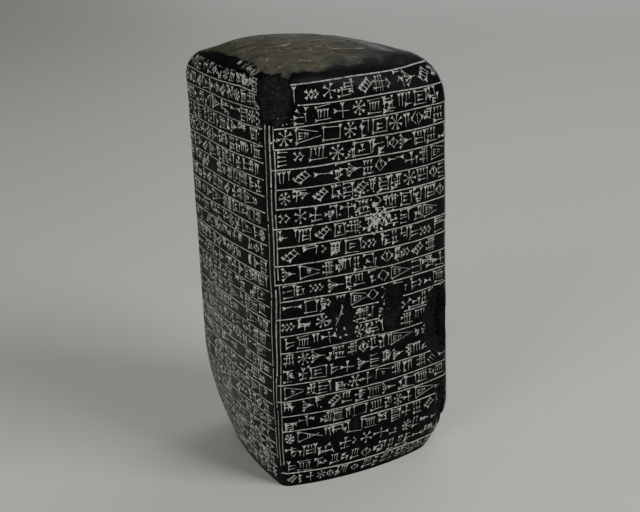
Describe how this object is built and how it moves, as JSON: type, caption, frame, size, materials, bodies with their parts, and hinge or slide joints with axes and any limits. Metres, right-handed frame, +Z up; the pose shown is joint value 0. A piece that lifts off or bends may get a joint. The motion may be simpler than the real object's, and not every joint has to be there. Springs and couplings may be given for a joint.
{
  "type": "inscribed stele",
  "caption": "Squat four-sided dark stone block with bowed sides, a domed top and a tapered foot, cut with ruled rows of wedge-like strokes.",
  "frame": {"origin": "middle of the underside's bounding box, on the surface that the stone stands on", "axes": "+Z up along the stone, the wide inscribed side that the picture shows faces -Y and the narrow one faces -X"},
  "size_m": [0.1084, 0.1046, 0.2191],
  "materials": {
    "stone": "near-black fine-grained stone, rubbed to a low sheen, with pale filling in the cut strokes and a greyer worn top"
  },
  "bodies": {
    "root": {"stele": "stone"}
  },
  "joints": []
}
